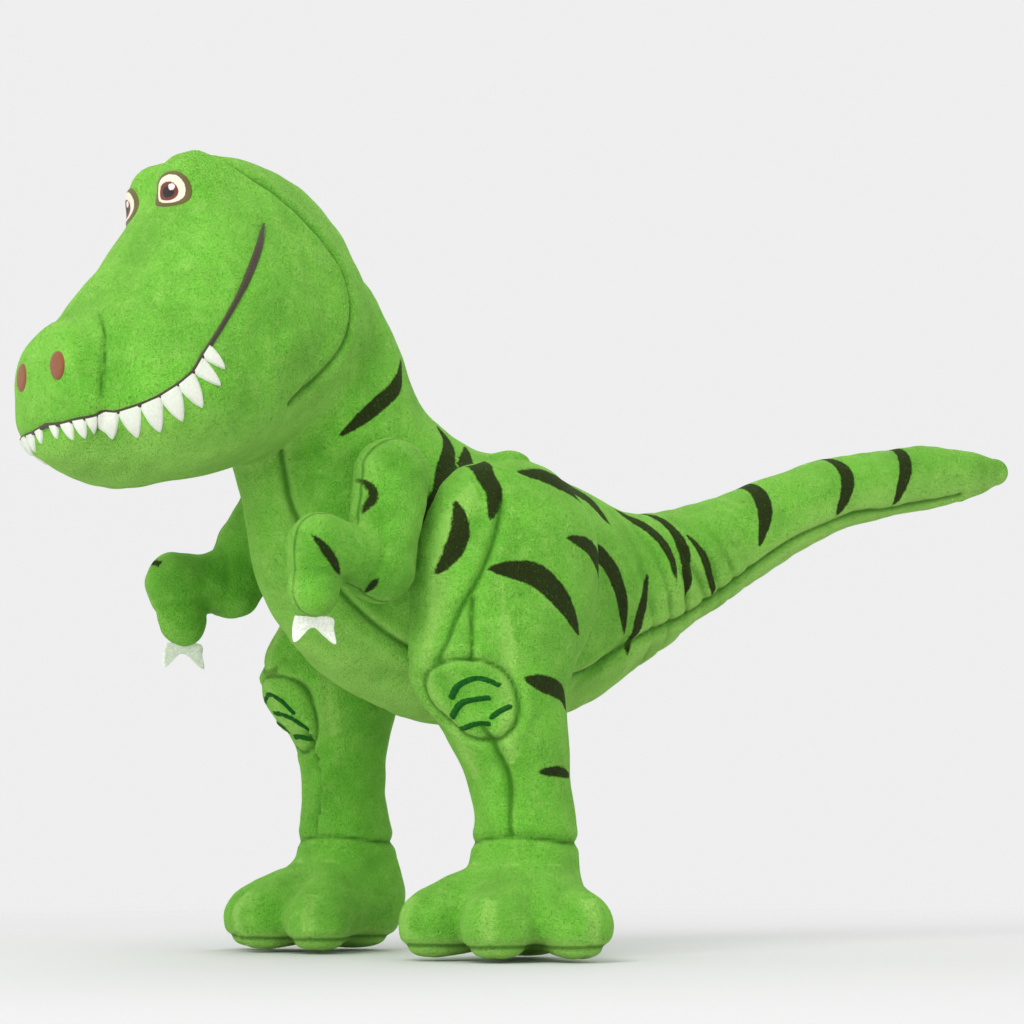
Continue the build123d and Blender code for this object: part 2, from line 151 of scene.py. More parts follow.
class Tube:
    """A smooth skin through flat elliptical sections: centre, two half axes, narrowing."""

    def __init__(self, centres, ups, half_a, half_b, caps, narrow=0.0, n=5):
        c = catmull(centres, n)
        v = catmull(ups, n)
        v /= np.linalg.norm(v, axis=1)[:, None]
        self.c, self.v = c, v
        self.a = catmull(np.array(half_a, float)[:, None], n)[:, 0]
        self.b = catmull(np.array(half_b, float)[:, None], n)[:, 0]
        u = np.array([1.0, 0, 0])
        self.u = u
        self.nrm = np.cross(u, v)
        run = np.diff(c, axis=0).sum(0)
        if (self.nrm.mean(0) @ run) < 0:
            self.nrm = -self.nrm
        self.caps, self.narrow = caps, narrow

    def __call__(self, p):
        shape = p.shape[:-1]
        p = p.reshape(-1, 3)
        s0 = (p - self.c[0]) @ self.nrm[0]
        idx = np.zeros(len(p), int)
        t = np.zeros(len(p))
        w = np.minimum(s0, 0)
        done = s0 < 0
        prev = s0
        last = len(self.c) - 1
        for i in range(1, last + 1):
            s = (p - self.c[i]) @ self.nrm[i]
            hit = ~done & (s < 0)
            idx[hit] = i - 1
            t[hit] = prev[hit] / np.maximum(prev[hit] - s[hit], 1e-9)
            done |= hit
            prev = s
        idx[~done] = last - 1
        t[~done] = 1.0
        w = np.where(done, w, prev)
        mix = lambda arr: arr[idx] * (1 - t if arr.ndim == 1 else (1 - t)[:, None]) \
            + arr[idx + 1] * (t if arr.ndim == 1 else t[:, None])
        q = p - mix(self.c)
        vv = (q * mix(self.v)).sum(-1)
        a, b = mix(self.a), mix(self.b)
        if self.narrow:
            a = a * (1 - self.narrow * np.clip(vv / b, -1, 1))
        cap = np.where(w < 0, self.caps[0], self.caps[1])
        k0 = np.sqrt((q[:, 0] / a) ** 2 + (vv / b) ** 2 + (w / cap) ** 2)
        k1 = np.sqrt((q[:, 0] / a ** 2) ** 2 + (vv / b ** 2) ** 2 + (w / cap ** 2) ** 2)
        return (k0 * (k0 - 1) / np.maximum(k1, 1e-9)).reshape(shape)


def profile_tube(sections, caps, narrow=0.0, n=5):
    back = np.array([[0, b[0], b[1]] for b, f, h in sections], float)
    front = np.array([[0, f[0], f[1]] for b, f, h in sections], float)
    half = np.linalg.norm(back - front, axis=1) / 2
    return Tube((back + front) / 2, (back - front) / half[:, None], [s[2] for s in sections], half,
                caps, narrow, n)


def spin(axis, degrees):
    t = math.radians(degrees)
    c, s = math.cos(t), math.sin(t)
    if axis == "x":
        return np.array([[1, 0, 0], [0, c, -s], [0, s, c]])
    if axis == "y":
        return np.array([[c, 0, s], [0, 1, 0], [-s, 0, c]])
    return np.array([[c, -s, 0], [s, c, 0], [0, 0, 1]])


HEAD_R = spin("z", HEAD_YAW) @ spin("y", -HEAD_ROLL)
spine_tube = profile_tube(SPINE, (30, 9))
head_tube = profile_tube([((y, t), (y, b), h) for y, t, b, h in HEAD], (8, 13), HEAD_NARROW)
leg_tube = {}
for side, rows in LEG.items():
    leg_tube[side] = Tube([(x, y, z) for z, x, y, a, b in rows], [(0, 1, 0)] * len(rows),
                          [r[3] for r in rows], [r[4] for r in rows], (5, 14))


def to_head(p):
    return (p - HEAD_AT) @ HEAD_R


def from_head(q):
    return np.asarray(q, float) @ HEAD_R.T + HEAD_AT


def head_field(p):
    q = to_head(p)
    d = head_tube(q)
    for s in (1, -1):
        d = smin(d, ellipsoid(q, (s * 12, -76, 75), (16, 20, 17)), 8)
        d = smin(d, ellipsoid(q, (s * 13, -139, -16), (16, 17, 19)), 12)
        d = smin(d, ellipsoid(q, (s * 34, -96, -34), (21, 34, 26)), 16)
    return d


def thigh_field(p, side):
    return leg_tube[side](p)


def torso_field(p):
    d = spine_tube(p)
    for side in ("left", "right"):
        haunch = smax(thigh_field(p, side) + 4.5, 168 - p[..., 2], 14)
        d = smin(d, haunch, 14)
    return d


def skin_field(p):
    """Head, neck, body and tail in one."""
    return smin(torso_field(p), head_field(p), 9)


def foot_field(p, side):
    x, y, yaw, factor = FOOT[side]
    q = (p - np.array([x, y, 0.0])) @ spin("z", yaw)
    d = ellipsoid(q, (0, 2, 25), (25, 25, 26))
    d = smin(d, round_cone(q, (0, 0, 30), (0, 0, 58), 24, 21), 10)
    for turn in (-TOE_FAN, 0, TOE_FAN):
        t = math.radians(turn)
        u = np.array([math.sin(t), -math.cos(t), 0])
        root = u * 16 + np.array([0, 0, 26.0])
        tip = u * TOE_REACH * factor + np.array([0, 0, 16.5])
        toe = round_cone(q, root, tip, 20, 16.5)
        d = smin(d, toe, 9)
    return smax(d, 0.2 - q[..., 2], 5)


def leg_field(p, side):
    d = thigh_field(p, side)
    rows = LEG[side]
    s = 1 if side == "left" else -1
    knee = (rows[5][1] + 6 * s, rows[5][2] - rows[5][4] + 15, 136)
    d = smin(d, ellipsoid(p, knee, (21, 19, 22)), 12)
    return smin(d, foot_field(p, side), 7)


def arm_field(p, side):
    points = ARM[side]
    d = None
    for (a, b), (ra, rb) in zip(zip(points, points[1:]), ARM_R):
        limb = round_cone(p, a, b, ra, rb)
        d = limb if d is None else smin(d, limb, 5)
    return d


# ------------------------------------------------------------------ strokes, seams and printed stripes
# Each stripe is (side-profile points (y, z) in mm, half width at its middle).
BODY_STRIPES = [
    ([(-36, 288), (-45, 272), (-58, 261), (-78, 245)], 3.8),
    ([(-16, 257), (-15, 246), (-23, 231), (-29, 218), (-41, 205), (-54, 193)], 5.2),
    ([(-28, 215), (-29, 201), (-33, 190), (-40, 179)], 4.0),
    ([(-2, 246), (-11, 231), (-11, 218), (-16, 205)], 5.0),
    ([(26, 240), (48, 234), (67, 226), (77, 211)], 4.6),
    ([(34, 200), (62, 195), (76, 178), (82, 156)], 4.8),
    ([(-20, 182), (3, 180), (19, 169), (32, 152)], 6.2),
    ([(98, 188), (92, 166), (86, 146)], 3.0),
    ([(90, 222), (103, 213), (112, 202), (116, 184)], 3.2),
    ([(112, 223), (119, 214), (123, 200), (125, 176)], 3.5),
    ([(127, 210), (136, 198), (145, 178)], 3.2),
    ([(176, 252), (181, 241), (180, 225), (173, 205)], 4.4),
    ([(230, 263), (236, 251), (234, 238), (227, 225)], 4.2),
    ([(280, 274), (279, 263), (275, 250), (268, 233)], 4.0),
]
LEG_STRIPES = [
    ([(-28, 215), (-29, 201), (-33, 190), (-40, 179)], 4.0),
    ([(-2, 246), (-11, 231), (-11, 218), (-16, 205)], 4.4),
    ([(4, 230), (22, 229), (42, 223), (58, 212)], 4.4),
    ([(24, 199), (42, 195), (56, 181), (62, 160)], 4.6),
    ([(-20, 182), (3, 180), (19, 169), (32, 152)], 6.2),
    ([(-6, 130), (6, 128), (19, 124), (23, 116)], 4.5),
    ([(2, 87), (14, 87), (26, 85)], 2.5),
]
ARM_STRIPES = [
    ([(-76, 224), (-73, 216), (-78, 206)], 1.7),
    ([(-112, 194), (-105, 186), (-95, 175)], 2.2),
    ([(-75, 175), (-78, 168)], 1.6),
]
BODY_SEAMS = [
    [(-108, 258), (-101, 236), (-93, 206), (-78, 176), (-52, 152), (-20, 138), (20, 132), (60, 137),
     (96, 156), (129, 168), (160, 187), (200, 211), (240, 226), (274, 232), (320, 242)],
    [(58, 131), (70, 141), (84, 154)],
]
LEG_SEAMS = [
    [(-8, 216), (-15, 196), (-23, 178), (-34, 158), (-43, 138)],
    [(-26, 168), (-30, 139)],
    [(-23, 108), (-15, 95), (-9, 82), (-8, 58)],
]
HEAD_SEAMS = [
    [(-74, 92), (-50, 76), (-32, 58), (-20, 40), (-15, 22), (-20, 0), (-36, -18), (-54, -34)],
    [(-140, 8), (-145, -12), (-149, -36)],
]
KNEE_FACING = {"left": 40.0, "right": 2.0}
KNEE_Z = {"left": 120.0, "right": 117.0}
KNEE_R = 19.0
KNEE_ARCS = [
    [(-9, 1), (-4, 7), (3, 10), (11, 7)], [(-13, -7), (-5, -1), (6, 1)],
    [(5, -8), (10, -5), (15, -3)], [(-13, -13), (-4, -11), (3, -11)],
]
# mouth and teeth on the left of the head frame; the right is the mirror
MOUTH = [(0, -159, -45), (11, -157, -46), (20, -156, -46), (32, -151, -46), (41, -141, -43), (49, -130, -38),
         (55, -117, -28), (56, -109, -17), (56, -96, 0), (54, -83, 18), (50, -71, 37), (44, -62, 52)]
TEETH = [(6, 6.7, 2.9), (14, 9.0, 3.6), (21.5, 11.2, 3.8), (29, 12.9, 4.1), (37, 14.6, 4.7), (46.5, 17.9, 5.5),
         (57, 17.4, 5.5), (66.5, 16.2, 5.3), (76, 15.7, 5.3), (85.5, 14.6, 4.7), (94, 12.3, 4.0)]
NOWHERE = 60.0             # a distance that stands for no stripe or seam near
EYE_AT = (16.0, -92.0, 70.0)
EYE_R = (11.0, 10.2)
NOSTRIL_AT = (13.5, -157.0, -20.0)
NOSTRIL_R = (4.8, 6.8)


def segments(points, n=5):
    return catmull(points, n) if len(points) > 2 else np.array(points, float)


def stroke(q, points, half=0.0):
    """Distance from q to a smooth curve, less a half width that tapers to both ends."""
    c = segments(points)
    run = np.concatenate([[0], np.cumsum(np.linalg.norm(np.diff(c, axis=0), axis=1))])
    run /= run[-1]
    best = np.full(len(q), 1e9)
    for i in range(len(c) - 1):
        d = c[i + 1] - c[i]
        t = np.clip((q - c[i]) @ d / (d @ d), 0, 1)
        dist = np.linalg.norm(q - (c[i] + t[:, None] * d), axis=1)
        if half:
            r = run[i] + t * (run[i + 1] - run[i])
            dist = dist - half * np.maximum(4 * r * (1 - r), 0) ** 0.75
        best = np.minimum(best, dist)
    return best


def nearest(q, strokes):
    best = np.full(len(q), NOWHERE)
    for s in strokes:
        if isinstance(s, tuple):
            best = np.minimum(best, stroke(q, s[0], s[1]))
        else:
            best = np.minimum(best, stroke(q, s))
    return best


# ------------------------------------------------------------------ skin meshes
def net(field, lo, hi, step=STEP, coarse=4):
    """A quad mesh of the zero surface of a field: values are found only near the surface."""
    lo = np.array(lo, float)
    big = step * coarse
    n = np.ceil((np.array(hi) - lo) / big).astype(int) + 1
    ax = [lo[k] + big * np.arange(n[k]) for k in range(3)]
    g = np.stack(np.meshgrid(*ax, indexing="ij"), -1)
    rough = field(g)
    near = np.abs(rough) < big * 1.6
    fine = np.clip(rough, -9, 9)
    keep = near
    for k in range(3):
        fine = np.repeat(fine, coarse, axis=k)
        keep = np.repeat(keep, coarse, axis=k)
    grow = keep.copy()
    for k in range(3):
        for s in (-coarse, coarse):
            grow |= np.roll(keep, s, axis=k)
    idx = np.argwhere(grow)
    fine[grow] = field(lo + (idx - (coarse - 1) / 2.0 * 0) * step)
    inside = fine < 0
    nx, ny, nz = fine.shape
    count = np.zeros((nx - 1, ny - 1, nz - 1), np.int8)
    corners = [(i, j, k) for i in (0, 1) for j in (0, 1) for k in (0, 1)]
    for i, j, k in corners:
        count += inside[i:nx - 1 + i, j:ny - 1 + j, k:nz - 1 + k]
    cells = np.argwhere((count > 0) & (count < 8))
    index = -np.ones(count.shape, np.int64)
    index[tuple(cells.T)] = np.arange(len(cells))
    total = np.zeros((len(cells), 3))
    number = np.zeros(len(cells))
    for a in corners:
        for b in corners:
            if a < b and sum(abs(a[m] - b[m]) for m in range(3)) == 1:
                fa = fine[cells[:, 0] + a[0], cells[:, 1] + a[1], cells[:, 2] + a[2]]
                fb = fine[cells[:, 0] + b[0], cells[:, 1] + b[1], cells[:, 2] + b[2]]
                cut = (fa < 0) != (fb < 0)
                t = np.where(cut, fa / np.where(cut, fa - fb, 1), 0)
                total += (np.array(a) + t[:, None] * (np.array(b) - np.array(a))) * cut[:, None]
                number += cut
    verts = lo + (cells + total / number[:, None]) * step
    quads = []
    for k in range(3):
        low = [slice(None)] * 3
        high = [slice(None)] * 3
        low[k], high[k] = slice(0, -1), slice(1, None)
        a, b = inside[tuple(low)], inside[tuple(high)]
        e = np.argwhere(a != b)
        m, o = (k + 1) % 3, (k + 2) % 3
        e = e[(e[:, m] > 0) & (e[:, o] > 0)]
        e = e[(e[:, m] < fine.shape[m] - 1) & (e[:, o] < fine.shape[o] - 1)]
        first = a[tuple(e.T)]
        ring = []
        for dm, do in ((-1, -1), (0, -1), (0, 0), (-1, 0)):
            c = e.copy()
            c[:, m] += dm
            c[:, o] += do
            ring.append(index[tuple(c.T)])
        q = np.stack(ring, 1)
        q[~first] = q[~first][:, ::-1]
        quads.append(q)
    quads = np.concatenate(quads)
    quads = quads[(quads >= 0).all(1)]
    for turn in range(2):
        verts, normal = settle(field, verts)
    return verts, quads, normal


def gradient(field, p, e=0.4):
    base = field(p)
    g = np.stack([field(p + np.eye(3)[k] * e) - field(p - np.eye(3)[k] * e) for k in range(3)], -1)
    size = np.maximum(np.linalg.norm(g, axis=-1), 1e-9)
    return base, g / size[..., None], size / (2 * e)


def settle(field, p):
    base, n, slope = gradient(field, p)
    move = np.clip(base / np.maximum(slope, 0.3), -1.2, 1.2)
    return p - n * move[:, None], n


def bend_noise(p, scale, seed):
    """Soft lumps that repeat for the same seed."""
    rng = np.random.default_rng(seed)
    out = np.zeros(len(p))
    for k in range(7):
        w = rng.normal(size=3)
        w *= rng.uniform(0.6, 1.5) / np.linalg.norm(w) / scale
        out += np.sin(p @ w * 2 * math.pi + rng.uniform(0, 6.28))
    return out / 4


def swell(p):
    """Unevenness of the stuffing under the head and body skin."""
    return 0.8 * bend_noise(p, 46.0, 3) + 0.35 * bend_noise(p, 17.0, 4)


def build_mesh(name, verts, quads, normals, values, mat):
    used = np.unique(quads)
    back = -np.ones(len(verts), np.int64)
    back[used] = np.arange(len(used))
    mesh = bpy.data.meshes.new(name)
    mesh.from_pydata([], [], [])
    place = (verts[used] + SHIFT) / 1000.0
    mesh.vertices.add(len(used))
    mesh.vertices.foreach_set("co", place.astype(np.float32).ravel())
    mesh.loops.add(quads.size)
    mesh.loops.foreach_set("vertex_index", back[quads].astype(np.int32).ravel())
    mesh.polygons.add(len(quads))
    mesh.polygons.foreach_set("loop_start", (np.arange(len(quads)) * quads.shape[1]).astype(np.int32))
    mesh.update(calc_edges=True)
    mesh.validate()
    for key, val in values.items():
        val = np.asarray(val)[used]
        if val.ndim == 1:
            att = mesh.attributes.new(key, "FLOAT", "POINT")
            att.data.foreach_set("value", val.astype(np.float32))
        else:
            att = mesh.attributes.new(key, "FLOAT_VECTOR", "POINT")
            att.data.foreach_set("vector", val.astype(np.float32).ravel())
    mesh.polygons.foreach_set("use_smooth", np.ones(len(mesh.polygons), bool))
    if normals is not None:
        mesh.normals_split_custom_set_from_vertices(normals[used].astype(np.float32))
    ob = bpy.data.objects.new(name, mesh)
    bpy.context.scene.collection.objects.link(ob)
    mesh.materials.append(mat)
    return ob


def mesh_normals(verts, quads):
    """Vertex normals of the carved surface."""
    a, b, c, d = (verts[quads[:, k]] for k in range(4))
    face = np.cross(c - a, d - b)
    n = np.zeros_like(verts)
    for k in range(4):
        np.add.at(n, quads[:, k], face)
    return n / np.maximum(np.linalg.norm(n, axis=1), 1e-12)[:, None]


def groove(dist, depth, width):
    """A stitched seam pulled in, with the stuffing swelling on both sides."""
    swelling = np.exp(-((dist - 2.6 * width) / (1.6 * width)) ** 2)
    return -depth * np.exp(-(dist / width) ** 2) + 0.35 * depth * swelling


# ------------------------------------------------------------------ materials
def srgb(r, g, b):
    def one(v):
        v /= 255.0
        return v / 12.92 if v <= 0.04045 else ((v + 0.055) / 1.055) ** 2.4
    return (one(r), one(g), one(b), 1.0)


class Nodes:
    def __init__(self, name):
        self.mat = bpy.data.materials.new(name)
        self.mat.use_nodes = True
        self.tree = self.mat.node_tree
        self.tree.nodes.clear()
        self.out = self.add("ShaderNodeOutputMaterial")
        self.bsdf = self.add("ShaderNodeBsdfPrincipled")
        self.link(self.bsdf.outputs[0], self.out.inputs[0])

    def add(self, kind, **props):
        node = self.tree.nodes.new(kind)
        for k, v in props.items():
            setattr(node, k, v)
        return node

    def link(self, a, b):
        self.tree.links.new(a, b)

    def put(self, socket, value):
        if hasattr(value, "links"):
            self.link(value, socket)
        else:
            socket.default_value = value

    def math(self, op, a, b=0.0, c=0.0, clamp=False):
        node = self.add("ShaderNodeMath", operation=op, use_clamp=clamp)
        for k, v in enumerate((a, b, c)):
            self.put(node.inputs[k], v)
        return node.outputs[0]

    def noise(self, vector, scale, detail=3.0, rough=0.55):
        node = self.add("ShaderNodeTexNoise")
        self.put(node.inputs["Vector"], vector)
        node.inputs["Scale"].default_value = scale
        node.inputs["Detail"].default_value = detail
        node.inputs["Roughness"].default_value = rough
        return node.outputs["Fac"]

    def att(self, name, vector=False):
        node = self.add("ShaderNodeAttribute", attribute_name=name)
        return node.outputs["Vector" if vector else "Fac"]

    def ramp(self, value, low, high, out_low=0.0, out_high=1.0):
        node = self.add("ShaderNodeMapRange")
        node.interpolation_type = "SMOOTHSTEP"
        self.put(node.inputs["Value"], value)
        for k, v in (("From Min", low), ("From Max", high), ("To Min", out_low), ("To Max", out_high)):
            node.inputs[k].default_value = v
        return node.outputs[0]

    def mix(self, factor, a, b, blend="MIX"):
        node = self.add("ShaderNodeMix", data_type="RGBA", blend_type=blend)
        self.put(node.inputs[0], factor)
        self.put(node.inputs[6], a)
        self.put(node.inputs[7], b)
        return node.outputs[2]

    def bump(self, height, strength, distance, under=None):
        node = self.add("ShaderNodeBump")
        node.inputs["Strength"].default_value = strength
        node.inputs["Distance"].default_value = distance
        self.put(node.inputs["Height"], height)
        if under is not None:
            self.link(under, node.inputs["Normal"])
        return node.outputs[0]


def plush_material(name, base, shade, light):
    """Short-pile plush: mottled nap, printed stripes, stitched seams, painted crease shade, a painted
    underglow with paler seam edges, and a painted rim highlight.
    """
    n = Nodes(name)
    at = n.att("rest", True)
    patches = n.noise(at, 26.0, 4.0, 0.6)
    clumps = n.noise(at, 120.0, 4.0, 0.65)
    pile = n.noise(at, 620.0, 3.0, 0.7)
    fibre = n.noise(at, 1900.0, 2.0, 0.6)
    colour = n.mix(n.ramp(patches, 0.3, 0.62, 0.45, 1.0), shade, base)
    colour = n.mix(n.math("MULTIPLY", n.ramp(clumps, 0.42, 0.72), 0.28), colour, light)
    colour = n.mix(n.ramp(fibre, 0.4, 0.68, 0.0, 0.3), colour, light)
    colour = n.mix(n.ramp(fibre, 0.3, 0.5, 0.34, 0.0), colour, shade)
    # Painted underglow: skin that faces down is pushed toward the light green; seam edges are paler too.
    painted_underglow_and_seam_pale = n.math("MULTIPLY", n.att("painted_underglow_and_seam_pale"), n.ramp(patches, 0.2, 0.75, 0.55, 1.0))
    colour = n.mix(painted_underglow_and_seam_pale, colour, light)
    # Painted shade: skin pulled in at seams, creases and folds is darkened toward the shade green.
    colour = n.mix(n.math("MULTIPLY", n.att("painted_crease_shade"), 0.75), colour, shade)
    # Painted rim highlight: the colour turns toward the light green where the surface turns away from the
    # view.
    facing = n.add("ShaderNodeLayerWeight")
    facing.inputs["Blend"].default_value = 0.32
    rim = n.math("MULTIPLY", facing.outputs["Facing"], 0.42)
    colour = n.mix(rim, colour, light)
    wobble = n.math("MULTIPLY", n.math("SUBTRACT", n.noise(at, 240.0, 3.0), 0.5), 1.2)
    edge = n.math("ADD", n.att("stripe"), wobble)
    fuzz = n.math("MULTIPLY", n.math("SUBTRACT", pile, 0.5), 1.5)
    edge = n.math("ADD", edge, fuzz)
    dark = n.mix(n.ramp(pile, 0.3, 0.7), srgb(12, 10, 2), srgb(38, 34, 12))
    colour = n.mix(n.ramp(edge, -0.5, 0.6, 0.97, 0.0), colour, dark)
    arc = n.math("ADD", n.att("arc"), n.math("MULTIPLY", fuzz, 0.25))
    stitch = n.mix(n.ramp(pile, 0.3, 0.7), srgb(14, 84, 26), srgb(26, 112, 38))
    colour = n.mix(n.ramp(arc, -0.2, 0.25, 1.0, 0.0), colour, stitch)
    seam = n.ramp(n.att("seam"), 0.1, 1.5, 1.0, 0.0)
    thread = n.mix(0.5, shade, srgb(30, 70, 12))
    colour = n.mix(n.math("MULTIPLY", seam, 0.7), colour, thread)
    spots = n.ramp(n.math("MULTIPLY", n.ramp(pile, 0.25, 0.5, 1.0, 0.0), 1.0), 0.2, 1.0, 0.0, 0.5)
    colour = n.mix(spots, colour, shade)
    n.link(colour, n.bsdf.inputs["Base Color"])
    n.bsdf.inputs["Roughness"].default_value = 0.95
    n.bsdf.inputs["Specular IOR Level"].default_value = 0.12
    n.bsdf.inputs["Sheen Weight"].default_value = 0.12
    n.bsdf.inputs["Sheen Roughness"].default_value = 0.45
    n.bsdf.inputs["Sheen Tint"].default_value = light
    deep = n.bump(clumps, 0.5, 0.0035)
    mid = n.bump(pile, 0.85, 0.0028, deep)
    fine = n.bump(fibre, 0.8, 0.0011, mid)
    stitched = n.bump(n.ramp(n.att("arc"), -1.0, 0.3, 1.0, 0.0), 0.8, 0.0010, fine)
    n.link(stitched, n.bsdf.inputs["Normal"])
    return n.mat


def thread_material(name, dark, light, along="thread", pitch=0.42):
    """Satin stitch: parallel shiny threads, packed side by side, with painted sheen on each thread's crown and
    painted shade between threads.
    """
    n = Nodes(name)
    at = n.att("rest", True)
    wave = n.math("SINE", n.math("MULTIPLY", n.att(along), 2 * math.pi / pitch))
    lift = n.math("MULTIPLY_ADD", wave, 0.5, 0.5)
    vary = n.noise(at, 900.0, 2.0)
    # Painted sheen and shade: thread crowns lighter, gaps between threads darker, plus random tone.
    colour = n.mix(n.math("MULTIPLY", n.math("ADD", lift, vary), 0.5), dark, light)
    n.link(colour, n.bsdf.inputs["Base Color"])
    n.bsdf.inputs["Roughness"].default_value = 0.5
    n.bsdf.inputs["Sheen Weight"].default_value = 0.15
    n.bsdf.inputs["Specular IOR Level"].default_value = 0.35
    height = n.math("ADD", lift, n.math("MULTIPLY", vary, 0.5))
    n.link(n.bump(height, 0.7, 0.00025), n.bsdf.inputs["Normal"])
    return n.mat


def eye_material():
    """Embroidered eye: brown ring, cream white, maroon iris, black pupil, a pink-white glint."""
    n = Nodes("eye_stitching")
    sep = n.add("ShaderNodeSeparateXYZ")
    n.link(n.att("flat", True), sep.inputs[0])
    u, v = sep.outputs[0], sep.outputs[1]
    at = n.att("rest", True)
    ragged = n.math("MULTIPLY", n.math("SUBTRACT", n.noise(at, 1100.0, 2.0), 0.5), 0.9)

    def disc(cu, cv, r):
        du = n.math("SUBTRACT", u, cu)
        dv = n.math("SUBTRACT", v, cv)
        d = n.math("SQRT", n.math("ADD", n.math("MULTIPLY", du, du), n.math("MULTIPLY", dv, dv)))
        return n.ramp(n.math("ADD", n.math("SUBTRACT", d, r), ragged), -0.15, 0.2, 1.0, 0.0)

    angle = n.math("ARCTAN2", v, u)
    threads = n.math("MULTIPLY_ADD", n.math("SINE", n.math("MULTIPLY", angle, 120.0)), 0.5, 0.5)
    flat = n.math("MULTIPLY_ADD", n.math("SINE", n.math("MULTIPLY", v, 15.0)), 0.5, 0.5)
    # Painted sheen and shade along the stitches: ring, white and iris are lighter on each thread's crown,
    # darker between threads.
    colour = n.mix(threads, srgb(74, 66, 18), srgb(112, 100, 38))
    colour = n.mix(disc(0.0, 0.0, 7.4), colour, n.mix(flat, srgb(214, 206, 178), srgb(246, 240, 220)))
    colour = n.mix(disc(-1.0, -0.6, 4.9), colour, n.mix(flat, srgb(88, 26, 20), srgb(132, 52, 38)))
    colour = n.mix(disc(-1.0, -0.6, 2.9), colour, srgb(16, 12, 12))
    colour = n.mix(disc(0.9, 1.7, 1.5), colour, srgb(250, 224, 226))
    n.link(colour, n.bsdf.inputs["Base Color"])
    n.bsdf.inputs["Roughness"].default_value = 0.48
    n.bsdf.inputs["Sheen Weight"].default_value = 0.1
    height = n.math("ADD", n.math("MULTIPLY", threads, 0.6), flat)
    n.link(n.bump(height, 0.6, 0.0002), n.bsdf.inputs["Normal"])
    return n.mat


def felt_material():
    n = Nodes("white_felt")
    at = n.att("rest", True)
    tangle = n.noise(at, 900.0, 5.0, 0.7)
    colour = n.mix(n.ramp(tangle, 0.3, 0.7), srgb(206, 214, 196), srgb(246, 248, 240))
    n.link(colour, n.bsdf.inputs["Base Color"])
    n.bsdf.inputs["Roughness"].default_value = 1.0
    n.bsdf.inputs["Sheen Weight"].default_value = 0.3
    n.link(n.bump(tangle, 0.6, 0.0004), n.bsdf.inputs["Normal"])
    return n.mat


GREEN = plush_material("green_plush", srgb(110, 198, 56), srgb(68, 144, 32), srgb(176, 230, 112))
TEETH_MAT = thread_material("teeth_satin", srgb(196, 206, 180), srgb(250, 252, 244))
MOUTH_MAT = thread_material("mouth_thread", srgb(30, 22, 8), srgb(66, 52, 24), pitch=0.9)
NOSTRIL_MAT = thread_material("nostril_satin", srgb(104, 52, 22), srgb(156, 92, 48))
EYE_MAT = eye_material()
FELT = felt_material()

# ------------------------------------------------------------------ head, neck, body and tail skin
verts, quads, normal = net(skin_field, (-92, -252, 96), (98, 366, 392))
q = to_head(verts)
side = verts[:, 1:]
body_part = head_field(verts) > torso_field(verts)
stripe = np.where(body_part, nearest(side, BODY_STRIPES), NOWHERE)
body_seam = nearest(side, BODY_SEAMS[:1])
fold = nearest(side, BODY_SEAMS[1:])
outward = np.abs(normal[:, 0])
body_seam = np.where(outward > 0.15, body_seam, NOWHERE)
body_seam = np.where(body_part, body_seam, NOWHERE)
head_seam = nearest(q[:, 1:], HEAD_SEAMS[:1])
dart = nearest(q[:, 1:], HEAD_SEAMS[1:])
hn = normal @ HEAD_R
head_seam = np.where(~body_part & (np.abs(hn[:, 0]) > 0.1), head_seam, NOWHERE)
dart = np.where(~body_part & (np.abs(q[:, 0]) > 20) & (q[:, 1] < -120), dart, NOWHERE)
middle = np.where(~body_part & (q[:, 1] > -150) & (hn[:, 2] > 0.0), np.abs(q[:, 0]), NOWHERE)
mirrored = q * np.array([0, 1, 1]) + np.abs(q) * np.array([1, 0, 0])
mouth = stroke(mirrored, MOUTH)
mouth = np.where(body_part, 60.0, mouth)
wrinkle = np.zeros(len(verts))
for y0, z0, lean, depth in ((99, 176, 74, 1.4), (110, 180, 68, 1.9), (121, 186, 64, 2.3), (131, 190, 60, 2.3),
                            (141, 195, 58, 2.0), (152, 200, 57, 1.6), (164, 206, 57, 1.0)):
    t = math.radians(lean)
    d = (verts[:, 1] - y0) * math.sin(t) + (verts[:, 2] - z0) * math.cos(t)
    d = d + 3.0 * bend_noise(verts, 60.0, int(y0))
    fade = np.clip(1.1 - np.abs(normal[:, 2] + 0.15), 0, 1)
    wrinkle -= depth * fade * np.exp(-(d / 2.4) ** 2)
move = groove(body_seam, 2.0, 1.8) + groove(head_seam, 1.8, 1.8) + groove(dart, 0.8, 1.2)
move += groove(middle, 0.4, 1.5) + groove(mouth, 0.5, 2.4) + wrinkle
move += -1.6 * np.exp(-(fold / 3.0) ** 2) * (outward > 0.3)
move += swell(verts)
verts = verts + normal * move[:, None]
normal = mesh_normals(verts, quads)
seam = np.minimum(np.minimum(body_seam, head_seam), np.minimum(dart * 1.6, mouth * 1.4))
# Painted crease shade: the deeper the skin is pulled in, the darker its colour.
painted_crease_shade = np.clip(-move / 2.2, 0, 1)
